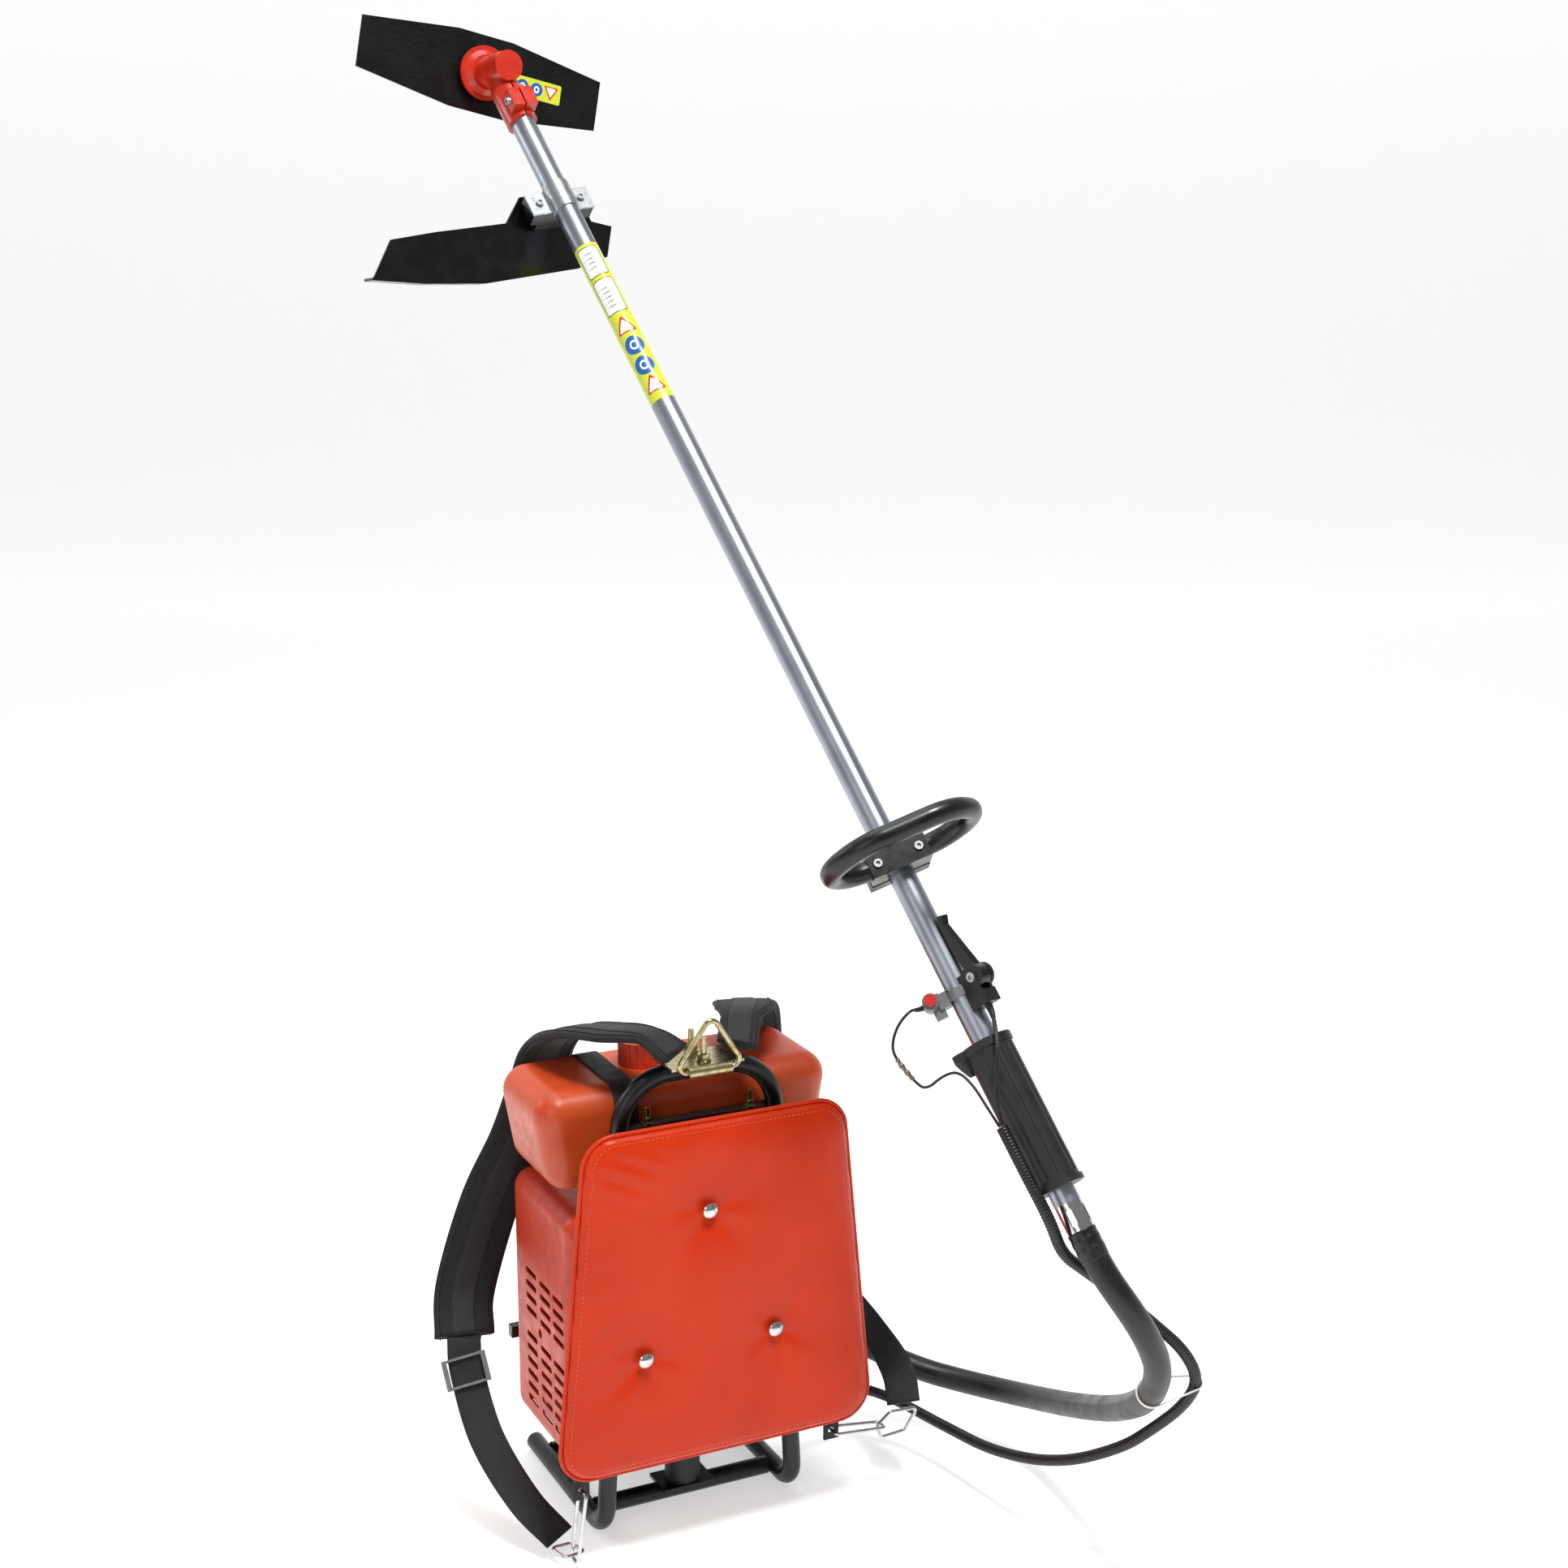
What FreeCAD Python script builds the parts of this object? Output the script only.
"""Knapsack brush cutter: a padded back frame with its engine and tank, and a rigid cutting
wand joined to it by a flexible drive hose.  Millimetres, +Z up, -Y towards the wearer."""
import FreeCAD, Part
import math
import os
import Sketcher
from FreeCAD import Placement, Rotation
from FreeCAD import Vector as V

doc = FreeCAD.newDocument("BrushCutter")

# ------------------------------------------------------------------ driving dimensions

SIZES = [
    ("tube_d", 28.0, "wand tube, outside diameter"),
    ("tube_wall", 1.5, "wand tube, wall"),
    ("tube_start", 47.0, "wand tube, start inside the gearhead"),
    ("tube_end", 1436.0, "wand tube, end inside the rear ferrule"),
    ("shaft_d", 8.0, "solid drive shaft, diameter"),
    ("fit", 0.05, "radial clearance of a running fit"),
    ("gear_angle", 55.85, "angle between the wand and the blade spindle, degrees"),
    ("head_d", 34.0, "gearhead barrel, diameter"),
    ("head_top", 37.0, "gearhead barrel, top above the gear centre"),
    ("dish_d", 62.0, "gearhead dish, diameter"),
    ("neck_d", 36.0, "gearhead neck, diameter at the clamp"),
    ("neck_end", 80.0, "gearhead neck, end of the clamp"),
    ("spindle_d", 10.0, "blade spindle, diameter"),
    ("bearing_od", 25.0, "spindle bearings, outside diameter"),
    ("blade_length", 305.0, "cutting blade, length"),
    ("blade_width", 90.0, "cutting blade, width"),
    ("blade_tip", 58.0, "cutting blade, width at its ends"),
    ("blade_waist", 70.0, "cutting blade, length of the full width"),
    ("blade_thick", 1.6, "cutting blade, thickness"),
    ("blade_bore", 25.4, "cutting blade, bore diameter"),
    ("blade_drop", 38.0, "gear centre to the blade's upper face"),
    ("guard_at", 189.0, "guard bracket, place along the wand"),
    ("guard_thick", 3.0, "guard, wall"),
    ("loop_at", 1053.0, "loop handle, place along the wand"),
    ("loop_width", 208.0, "loop handle, outside width"),
    ("loop_reach", 128.0, "loop handle, outside height above the wand's axis"),
    ("loop_bar", 22.0, "loop handle, bar diameter"),
    ("throttle_at", 1198.0, "throttle lever pivot, place along the wand"),
    ("switch_at", 1203.0, "stop switch clamp, place along the wand"),
    ("grip_start", 1258.0, "rear grip, start along the wand"),
    ("grip_end", 1420.0, "rear grip, end along the wand"),
    ("grip_d", 49.0, "rear grip, diameter"),
    ("ferrule_d", 33.0, "hose ferrules, diameter"),
    ("ferrule_end", 1465.0, "wand ferrule, end along the wand"),
    ("hose_d", 28.0, "flexible drive hose, diameter"),
    ("conduit_d", 12.5, "ribbed cable conduit, diameter"),
    ("cable_d", 4.5, "throttle cable, diameter"),
    ("wire_d", 3.0, "stop switch wire, diameter"),
    ("frame_tube", 20.0, "back frame tube, diameter"),
    ("frame_y", 40.0, "back frame, place of its upright plane"),
    ("hoop_half", 91.0, "back frame, half the hoop's width"),
    ("foot_half", 114.0, "back frame, half the width at the feet"),
    ("hoop_top", 525.0, "back frame, height of the hoop"),
    ("base_back", 262.0, "back frame, rear end of the base bars"),
    ("pad_top", 303.0, "back pad, width at the top"),
    ("pad_bottom", 377.0, "back pad, width at the bottom"),
    ("pad_height", 385.0, "back pad, height"),
    ("pad_low", 102.0, "back pad, height of its lower edge"),
    ("pad_crown", 38.0, "back pad, thickness"),
    ("pad_round", 38.0, "back pad, corner radius"),
    ("board_thick", 6.0, "back board, thickness"),
    ("tank_top", 508.0, "fuel tank, height of its top"),
    ("tank_height", 112.0, "fuel tank, height"),
    ("tank_width", 352.0, "fuel tank, width at the top"),
    ("tank_base", 312.0, "fuel tank, width at the bottom"),
    ("tank_front", 60.0, "fuel tank, place of its front"),
    ("tank_depth", 140.0, "fuel tank, depth"),
    ("tank_round", 27.0, "fuel tank, corner radius"),
    ("cap_d", 46.0, "fuel cap, diameter"),
    ("crank_z", 122.0, "crankshaft height"),
    ("crank_y", 150.0, "crankshaft place behind the pad"),
    ("crank_d", 17.0, "crankshaft, diameter"),
    ("bore_d", 40.0, "cylinder bore"),
    ("shroud_left", 142.0, "engine shroud, reach to the left"),
    ("shroud_wall", 2.5, "engine shroud, wall"),
    ("shroud_top", 366.0, "engine shroud, height of its top"),
    ("shroud_low", 70.0, "engine shroud, height of its lower edge"),
    ("drum_d", 78.0, "clutch drum, diameter"),
    ("ring_wire", 6.0, "strap ring, wire diameter"),
    ("strap_wide", 68.0, "shoulder strap, width of the padded part"),
    ("strap_thick", 9.0, "shoulder strap, thickness of the padded part"),
    ("web_wide", 38.0, "strap webbing, width"),
    ("web_thick", 3.0, "strap webbing, thickness"),
]

sheet = doc.addObject("Spreadsheet::Sheet", "Sizes")
for row, (alias, value, note) in enumerate(SIZES, start=1):
    sheet.set(f"A{row}", note)
    sheet.set(f"B{row}", str(value))
    sheet.setAlias(f"B{row}", alias)
doc.recompute()


def rule(x):
    """The spreadsheet rule of a size, or the number itself."""
    return x.rule if isinstance(x, Dim) else repr(float(x))


class Dim:
    """A size that carries both its number and the spreadsheet rule that gives it."""

    def __init__(self, value, text):
        self.value, self.rule = float(value), text

    def __float__(self):
        return self.value

    def __add__(self, other):
        return Dim(self.value + float(other), f"({self.rule} + {rule(other)})")

    def __radd__(self, other):
        return Dim(float(other) + self.value, f"({rule(other)} + {self.rule})")

    def __sub__(self, other):
        return Dim(self.value - float(other), f"({self.rule} - {rule(other)})")

    def __rsub__(self, other):
        return Dim(float(other) - self.value, f"({rule(other)} - {self.rule})")

    def __mul__(self, other):
        return Dim(self.value * float(other), f"({self.rule} * {rule(other)})")

    __rmul__ = __mul__

    def __truediv__(self, other):
        return Dim(self.value / float(other), f"({self.rule} / {rule(other)})")

    def __neg__(self):
        return Dim(-self.value, f"(0 - {self.rule})")


class Sheet:
    """Every driving dimension as an attribute: S.tube_d, S.head_d and so on."""


S = Sheet()
for alias, value, note in SIZES:
    setattr(S, alias, Dim(value, f"Sizes.{alias}"))

# ------------------------------------------------------------------ modelling helpers

NODES = []
CORDS = []
X, Y, Z = V(1, 0, 0), V(0, 1, 0), V(0, 0, 1)


def vec(x, y, z):
    return V(float(x), float(y), float(z))


def at(x=0, y=0, z=0, along=None):
    """A placement at a point, its own Z turned to point along a direction."""
    turn = Rotation(Z, along) if along is not None else Rotation()
    return Placement(vec(x, y, z), turn)


def bind(obj, **sizes):
    """Set each property, from the sheet where it is a size of the sheet."""
    for prop, size in sizes.items():
        if isinstance(size, Dim):
            obj.setExpression(prop, size.rule)
        else:
            setattr(obj, prop, size)


def new(kind, name, place=None, **sizes):
    obj = doc.addObject(kind, name)
    bind(obj, **sizes)
    obj.Placement = place or Placement()
    return obj


def cylinder(name, diameter, length, place=None):
    return new("Part::Cylinder", name, place, Radius=diameter / 2, Height=length)


def cone(name, low, high, length, place=None):
    return new("Part::Cone", name, place, Radius1=low / 2, Radius2=high / 2, Height=length)


def box(name, length, width, height, place=None):
    """A block centred on its place in X and Y, standing on it in Z."""
    shift = Placement(vec(float(length) / -2, float(width) / -2, 0), Rotation())
    return new("Part::Box", name, (place or Placement()).multiply(shift),
               Length=length, Width=width, Height=height)


def ball(name, diameter, place=None):
    return new("Part::Sphere", name, place, Radius=diameter / 2)


def torus(name, ring_d, wire_d, place=None):
    return new("Part::Torus", name, place, Radius1=ring_d / 2, Radius2=wire_d / 2)


def made(name, shape):
    obj = doc.addObject("Part::Feature", name)
    obj.Shape = shape
    return obj


def fuse(name, *shapes):
    obj = doc.addObject("Part::MultiFuse", name)
    obj.Shapes = list(shapes)
    return obj


def cut(name, base, *tools):
    obj = doc.addObject("Part::Cut", name)
    obj.Base = base
    obj.Tool = tools[0] if len(tools) == 1 else fuse(f"{name}_tools", *tools)
    return obj


def common(name, first, second):
    obj = doc.addObject("Part::MultiCommon", name)
    obj.Shapes = [first, second]
    return obj


def group(name, *shapes):
    """Separate solids of one node, such as a set of screws."""
    obj = doc.addObject("Part::Compound", name)
    obj.Links = list(shapes)
    return obj


def tube(name, outer, inner, length, place=None):
    place = place or Placement()
    hole = place.multiply(at(0, 0, -1))
    return cut(name, cylinder(f"{name}_outside", outer, length, place),
               cylinder(f"{name}_inside", inner, length + 2, hole))


def rounded_box(name, length, width, height, radius, place=None):
    obj = doc.addObject("Part::Fillet", name)
    obj.Base = box(f"{name}_block", length, width, height, place)
    doc.recompute()
    obj.Edges = [(i + 1, float(radius), float(radius)) for i in range(len(obj.Base.Shape.Edges))]
    return obj


def rounded_wire(points, radii, closed=False):
    """Straight runs joined by tangent arcs, one radius for each inner point."""
    pts = [V(*p) for p in points]
    count = len(pts)
    inner = range(count) if closed else range(1, count - 1)
    joints = {}
    for i in inner:
        before, corner, after = pts[i - 1], pts[i], pts[(i + 1) % count]
        back, ahead = (before - corner).normalize(), (after - corner).normalize()
        half = back.getAngle(ahead) / 2
        radius = float(radii[i] if closed else radii[i - 1])
        reach = radius / math.tan(half)
        middle = corner + (back + ahead).normalize() * (radius / math.sin(half) - radius)
        joints[i] = (corner + back * reach, middle, corner + ahead * reach)
    edges = []
    start = joints[0][2] if closed else pts[0]
    order = list(range(1, count)) + ([0] if closed else [])
    for i in order:
        if i in joints:
            first, middle, last = joints[i]
            if (first - start).Length > 1e-4:
                edges.append(Part.LineSegment(start, first).toShape())
            edges.append(Part.Arc(first, middle, last).toShape())
            start = last
        else:
            edges.append(Part.LineSegment(start, pts[i]).toShape())
    return Part.Wire(edges)


def cord_radii(points):
    """The largest arcs that a hand-set route allows: 0.45 of the shorter run beside each point."""
    pts = [V(*p) for p in points]
    radii = []
    for before, corner, after in zip(pts, pts[1:], pts[2:]):
        turn = (corner - before).getAngle(after - corner)
        shorter = min((corner - before).Length, (after - corner).Length)
        radii.append(0.45 * shorter / math.tan(turn / 2))
    return radii


def swept(name, diameter, points, radii, closed=False):
    """A round bar swept along a rounded wire."""
    path = doc.addObject("Part::Feature", f"{name}_path")
    path.Shape = rounded_wire(points, radii, closed)
    edge = path.Shape.Edges[0]
    start = edge.valueAt(edge.FirstParameter)
    heading = edge.tangentAt(edge.FirstParameter)
    ring = new("Part::Circle", f"{name}_section", Placement(start, Rotation(Z, heading)),
               Radius=diameter / 2)
    obj = doc.addObject("Part::Sweep", name)
    obj.Sections = [ring]
    obj.Spine = (path, [f"Edge{i + 1}" for i in range(len(path.Shape.Edges))])
    obj.Solid = True
    obj.Frenet = False
    return obj


def cord(name, diameter, points):
    radii = cord_radii(points)
    print(name, "radii", [round(r) for r in radii])
    obj = node(swept(name, diameter, points, radii))
    length = rounded_wire(points, radii).Length
    CORDS.append((name, math.pi * float(diameter) ** 2 / 4 * length))
    return obj


def base_plane(body, role):
    return next(f for f in body.Origin.OriginFeatures if f.Role == role)


def polygon(body, name, role, points):
    """A closed outline in one of the body's own planes, every corner set from the sheet."""
    sketch = body.newObject("Sketcher::SketchObject", name)
    sketch.AttachmentSupport = [(base_plane(body, role), "")]
    sketch.MapMode = "FlatFace"
    corners = [vec(x, y, 0) for x, y in points]
    count = len(corners)
    for i in range(count):
        sketch.addGeometry(Part.LineSegment(corners[i], corners[(i + 1) % count]), False)
    for i in range(count):
        sketch.addConstraint(Sketcher.Constraint("Coincident", i, 2, (i + 1) % count, 1))
    for i, (x, y) in enumerate(points):
        for axis, size in (("DistanceX", x), ("DistanceY", y)):
            index = sketch.addConstraint(Sketcher.Constraint(axis, -1, 1, i, 1, float(size)))
            if isinstance(size, Dim):
                sketch.setExpression(f"Constraints[{index}]", size.rule)
    return sketch


def circle(body, name, role, diameter, x=0.0, y=0.0):
    sketch = body.newObject("Sketcher::SketchObject", name)
    sketch.AttachmentSupport = [(base_plane(body, role), "")]
    sketch.MapMode = "FlatFace"
    sketch.addGeometry(Part.Circle(vec(x, y, 0), Z, float(diameter) / 2), False)
    for axis, size in (("DistanceX", x), ("DistanceY", y)):
        index = sketch.addConstraint(Sketcher.Constraint(axis, -1, 1, 0, 3, float(size)))
        if isinstance(size, Dim):
            sketch.setExpression(f"Constraints[{index}]", size.rule)
    index = sketch.addConstraint(Sketcher.Constraint("Diameter", 0, float(diameter)))
    if isinstance(diameter, Dim):
        sketch.setExpression(f"Constraints[{index}]", diameter.rule)
    return sketch


def new_body(name):
    return doc.addObject("PartDesign::Body", name)


def pad(body, sketch, length, symmetric=False, reverse=False):
    obj = body.newObject("PartDesign::Pad", f"{sketch.Name}_pad")
    obj.Profile = sketch
    bind(obj, Length=length)
    obj.Midplane = symmetric
    obj.Reversed = reverse
    return obj


def pocket(body, sketch, length=None, symmetric=False, reverse=False):
    obj = body.newObject("PartDesign::Pocket", f"{sketch.Name}_pocket")
    obj.Profile = sketch
    if length is None:
        obj.Type = "ThroughAll"
    else:
        bind(obj, Length=length)
    obj.Midplane = symmetric
    obj.Reversed = reverse
    return obj


def round_edges(body, base, radius, wanted):
    """Round the edges of the last feature that the test function picks."""
    doc.recompute()
    names = [f"Edge{i + 1}" for i, e in enumerate(base.Shape.Edges) if wanted(e)]
    obj = body.newObject("PartDesign::Fillet", f"{base.Name}_rounded")
    obj.Base = (base, names)
    bind(obj, Radius=radius)
    return obj


def node(obj, frame=None):
    """Make an object one sub-part of the machine, standing in one of the machine's frames."""
    NODES.append((obj, frame or Placement()))
    obj.Label = obj.Name
    return obj


def screws(name, places, shank_d, length, head_d, head_h):
    """Socket-head screws: each place is the seat of a head, its Z pointing out of the seat."""
    made = []
    for i, place in enumerate(places):
        shank = cylinder(f"{name}_{i}_shank", shank_d, length + 0.5,
                         place.multiply(at(0, 0, -length)))
        head = cylinder(f"{name}_{i}_head", head_d, head_h, place)
        socket = cylinder(f"{name}_{i}_socket", head_d * 0.5, head_h,
                          place.multiply(at(0, 0, head_h * 0.5)))
        made.append(cut(f"{name}_{i}", fuse(f"{name}_{i}_blank", shank, head), socket))
    return made


# ------------------------------------------------------------------ frames of reference

WAND_DOWN = V(0.1732, -0.6098, -0.7734).normalize()
FACING = V(0.098, -0.993, 0.079).normalize()
GEAR_CENTRE = V(-17.9, 548.2, 1576.9)
ACROSS = (FACING - WAND_DOWN * FACING.dot(WAND_DOWN)).normalize()
SIDE = WAND_DOWN.cross(ACROSS)

# wand frame: Z runs down the tube to the engine, X is the wand's upper side in use
WAND = Placement(GEAR_CENTRE, Rotation(ACROSS, SIDE, WAND_DOWN, "ZXY"))
# spindle frame: Z runs from the blade up through the gearhead's barrel
SPINDLE = WAND.multiply(Placement(V(), Rotation(Y, float(S.gear_angle))))
# engine frame: Z runs along the crankshaft to the right, X is up
CRANK = Placement(vec(0, S.crank_y, S.crank_z), Rotation(Z, V(0, -1, 0), X, "ZXY"))


def on_wand(z, angle=0.0, x=0.0, y=0.0):
    """A place along the wand, turned about it by an angle in degrees."""
    turn = Placement(V(), Rotation(Z, angle))
    return turn.multiply(at(x, y, float(z)))


# ------------------------------------------------------------------ gearhead and blade

PINION_TEETH, GEAR_TEETH = 11, 15
CONE = 19.0
TILT = Placement(V(), Rotation(Y, float(S.gear_angle)))


def pitch_angles():
    """Pitch cone angles of the pinion and the driven gear, in radians."""
    shaft = math.radians(float(S.gear_angle))
    ratio = GEAR_TEETH / PINION_TEETH
    small = math.atan2(math.sin(shaft), ratio + math.cos(shaft))
    return small, shaft - small


TOOTH_START = 0.66     # inner end of a tooth, as a share of the cone distance
ADDENDUM, DEDENDUM, BLANK_DEDENDUM = 0.52, 1.25, 1.15    # in modules, from the pitch cone
TOOTH_FOOT, TOOTH_TIP = 0.83, 0.25                       # half widths, in modules


def bevel_tooth(pitch, teeth, azimuth):
    """One straight tooth of a bevel gear whose cones meet at the origin."""
    module = 2 * CONE * math.sin(pitch) / teeth
    tip, root = pitch + ADDENDUM * module / CONE, pitch - DEDENDUM * module / CONE
    wide, narrow = TOOTH_FOOT * module, TOOTH_TIP * module
    corners = []
    for reach in (CONE * TOOTH_START, CONE):
        for polar, half in ((root, wide), (tip, narrow)):
            swing = half / (CONE * math.sin(polar))
            for side in (-1, 1):
                a = azimuth + side * swing
                corners.append(V(reach * math.sin(polar) * math.cos(a),
                                 reach * math.sin(polar) * math.sin(a),
                                 reach * math.cos(polar)))
    faces = [(0, 1, 3, 2), (4, 5, 7, 6), (0, 1, 5, 4), (2, 3, 7, 6), (0, 2, 6, 4), (1, 3, 7, 5)]
    skin = []
    for quad in faces:
        a, b, c, d = (corners[i] for i in quad)
        skin.append(Part.Face(Part.makePolygon([a, b, c, a])))
        skin.append(Part.Face(Part.makePolygon([a, c, d, a])))
    return Part.Solid(Part.Shell(skin))


def bevel_gear(pitch, teeth, first):
    """A bevel gear blank with its teeth, axis along Z, first tooth at a given azimuth."""
    module = 2 * CONE * math.sin(pitch) / teeth
    root = pitch - BLANK_DEDENDUM * module / CONE
    near, far = CONE * TOOTH_START, CONE
    shape = Part.makeCone(near * math.sin(root), far * math.sin(root),
                          (far - near) * math.cos(root), V(0, 0, near * math.cos(root)), Z)
    step = 2 * math.pi / teeth
    solids = [bevel_tooth(pitch, teeth, first + k * step) for k in range(teeth)]
    return shape.multiFuse(solids)


def gearhead():
    small, large = pitch_angles()
    barrel = cylinder("gear_barrel", S.head_d, S.head_top + 24, TILT.multiply(at(0, 0, -24)))
    flare = cone("gear_flare", S.dish_d - 10, S.head_d + 6, 6, TILT.multiply(at(0, 0, -26)))
    dish = cylinder("gear_dish", S.dish_d, 4, TILT.multiply(at(0, 0, -30)))
    throat = cone("gear_throat", 30, S.neck_d, 26, at(0, 0, 8))
    neck = cylinder("gear_neck", S.neck_d, S.neck_end - 34, at(0, 0, 34))
    lug = box("gear_lug", 15, 30, 24, at(20, 0, float(S.neck_end) - 30))
    heel = cylinder("gear_heel", 14, 12, at(-16, 0, float(S.neck_end) - 8, X).multiply(at(0, -6, -8)))
    blank = fuse("gear_blank", barrel, flare, dish, throat, neck, lug, heel)
    bearings = cylinder("gear_bore", S.bearing_od, 52, TILT.multiply(at(0, 0, -24)))
    outlet = cylinder("gear_outlet", S.spindle_d + 6, 12, TILT.multiply(at(0, 0, -31)))
    socket = cylinder("gear_socket", S.tube_d, S.neck_end, at(0, 0, S.tube_start))
    pinion = cylinder("gear_pinion_bore", 22.0, S.tube_start, at(0, 0, 4))
    slit = box("gear_slit", 24, 2, 50, at(22, 0, float(S.neck_end) - 46))
    bolt = cylinder("gear_bolt_hole", 5.2, 60, at(22, 30, float(S.neck_end) - 16, -Y))
    plug = cylinder("gear_plug_hole", 6.0, 12, at(0, -22, 30, Y))
    return cut("gearhead_case", blank, bearings, outlet, socket, pinion, slit, bolt, plug)


node(gearhead(), WAND)

small_cone, large_cone = pitch_angles()

gear_blank = fuse("driven_gear_blank", made("driven_gear_teeth", bevel_gear(large_cone, GEAR_TEETH,
                  math.pi + math.pi / GEAR_TEETH)), cylinder("driven_gear_hub", 18, 2, at(0, 0, 15.2)))
node(cut("driven_gear", gear_blank, cylinder("driven_gear_bore", S.spindle_d, 30)), SPINDLE)

node(fuse("blade_spindle",
          cylinder("spindle_upper", S.spindle_d, S.blade_drop + 27.5, at(0, 0, -S.blade_drop)),
          cylinder("spindle_thread", 8.0, 18.5, at(0, 0, -float(S.blade_drop) - 18))), SPINDLE)

node(group("gearhead_bearings",
           *[tube(f"spindle_bearing_{i}", S.bearing_od, S.spindle_d + 2 * S.fit, 8,
                  TILT.multiply(at(0, 0, z))) for i, z in enumerate((-21, 19))],
           tube("pinion_bearing", 22.0, 10.0 + 2 * S.fit, 8, at(0, 0, 22))), WAND)

flange = fuse("flange_blank",
              cylinder("flange_disc", 50.0, 4.5, at(0, 0, -S.blade_drop)),
              cylinder("flange_boss", S.blade_bore - 0.2, S.blade_thick,
                       at(0, 0, -S.blade_drop - S.blade_thick)))
node(cut("blade_flange", flange, cylinder("flange_bore", S.spindle_d, 4.5,
                                          at(0, 0, -float(S.blade_drop))),
         cylinder("flange_thread", 8.0, 8, at(0, 0, -float(S.blade_drop) - 7))), SPINDLE)


def cutting_blade():
    """A flat eight-cornered blade with a round bore, its long way turned across the spindle."""
    body = new_body("cutting_blade")
    half, waist = S.blade_length / 2, S.blade_waist / 2
    wide, tip = S.blade_width / 2, S.blade_tip / 2
    outline = [(-half, -tip), (-waist, -wide), (waist, -wide), (half, -tip),
               (half, tip), (waist, wide), (-waist, wide), (-half, tip)]
    pad(body, polygon(body, "blade_outline", "XY_Plane", outline), S.blade_thick)
    pocket(body, circle(body, "blade_hole", "XY_Plane", S.blade_bore), reverse=True)
    return body


BLADE_LONG = V(0.973, 0.080, -0.210)
long_local = SPINDLE.Rotation.inverted().multVec(BLADE_LONG)
blade_turn = math.degrees(math.atan2(long_local.y, long_local.x))
blade = cutting_blade()
blade.Placement = at(0, 0, -S.blade_drop - S.blade_thick).multiply(
    Placement(V(), Rotation(Z, blade_turn)))
node(blade, SPINDLE)

under_blade = -float(S.blade_drop) - float(S.blade_thick)
hexagon = new("Part::Prism", "nut_hexagon", at(0, 0, under_blade - 12), Polygon=6,
              Circumradius=9.8, Height=8)
washer = cylinder("blade_washer", 52.0, 4, at(0, 0, under_blade - 4))
node(cut("blade_nut", fuse("nut_blank", hexagon, washer),
         cylinder("nut_thread", 8.0, 16, at(0, 0, under_blade - 14))), SPINDLE)

pinion_blank = fuse("pinion_blank", made("pinion_teeth", bevel_gear(small_cone, PINION_TEETH, 0.0)),
                    cylinder("pinion_journal", 10.0, 16, at(0, 0, 17.0)),
                    cylinder("pinion_sleeve", 15.0, 14, at(0, 0, 32)))
node(cut("pinion_shaft", pinion_blank, cylinder("pinion_socket", S.shaft_d, 20, at(0, 0, 34))), WAND)

clamp_bolt = screws("clamp_bolt", [at(22, 15.2, float(S.neck_end) - 16, Y)], 5.0, 30.2, 8.5, 5)
grease_plug = fuse("grease_plug", cylinder("plug_thread", 5.9, 6.5, at(0, -12, 30, -Y)),
                   new("Part::Prism", "plug_head", at(0, -18, 30, -Y), Polygon=6,
                       Circumradius=5.5, Height=4))

# ------------------------------------------------------------------ wand tube and drive shaft

inner_d = S.tube_d - 2 * S.tube_wall
node(tube("wand_tube", S.tube_d, inner_d, S.tube_end - S.tube_start, at(0, 0, S.tube_start)), WAND)
node(cylinder("drive_shaft", S.shaft_d, S.tube_end - 44, at(0, 0, 34.2)), WAND)
bush_places = [150, 430, 710, 990, 1270]
node(group("shaft_bushes", *[tube(f"bush_{i}", inner_d, S.shaft_d + 2 * S.fit, 14, at(0, 0, z))
                             for i, z in enumerate(bush_places)]), WAND)


# ------------------------------------------------------------------ guard

GUARD = WAND.multiply(at(-20, 0, float(S.guard_at) - 22)).multiply(
    Placement(V(), Rotation(V(-math.cos(math.radians(float(S.gear_angle))), 0,
                              math.sin(math.radians(float(S.gear_angle)))),
                            V(0, -1, 0),
                            V(math.sin(math.radians(float(S.gear_angle))), 0,
                              math.cos(math.radians(float(S.gear_angle)))), "ZXY")))


def blade_guard():
    """A plate level with the blade, with a skirt along its rear edge and a saddle on the tube."""
    plate = new_body("guard_plate")
    rear = [(63, -230), (76, -168), (86, -96), (86, 22), (78, 62)]
    outline = [(-2, 36), (-2, -36), (24, -58), (22, -147), (23, -200)] + rear + [(45, 74), (36, 49)]
    pad(plate, polygon(plate, "guard_outline", "XY_Plane", outline), S.guard_thick, reverse=True)
    skirt = new_body("guard_skirt")
    inner = [(x - 3, y) for x, y in reversed(rear)]
    pad(skirt, polygon(skirt, "skirt_outline", "XY_Plane", rear + inner), 24, reverse=True)
    to_wand = WAND.inverse().multiply(GUARD)
    plate.Placement, skirt.Placement = to_wand, to_wand
    block = box("guard_saddle", 17, 76, 28, at(-14, 0, float(S.guard_at) - 14))
    rib = box("guard_rib", 23, 60, 20, at(-21.5, 0, float(S.guard_at) - 6))
    saddle = cylinder("guard_tube_seat", S.tube_d + 0.1, 400, at(0, 0, 60))
    holes = [cylinder(f"guard_hole_{i}", 5.0, 40, at(-30, y, float(S.guard_at), X))
             for i, y in enumerate((-26, 26))]
    return cut("blade_guard", fuse("guard_blank", plate, skirt, block, rib), saddle, *holes)


node(blade_guard(), WAND)

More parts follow.
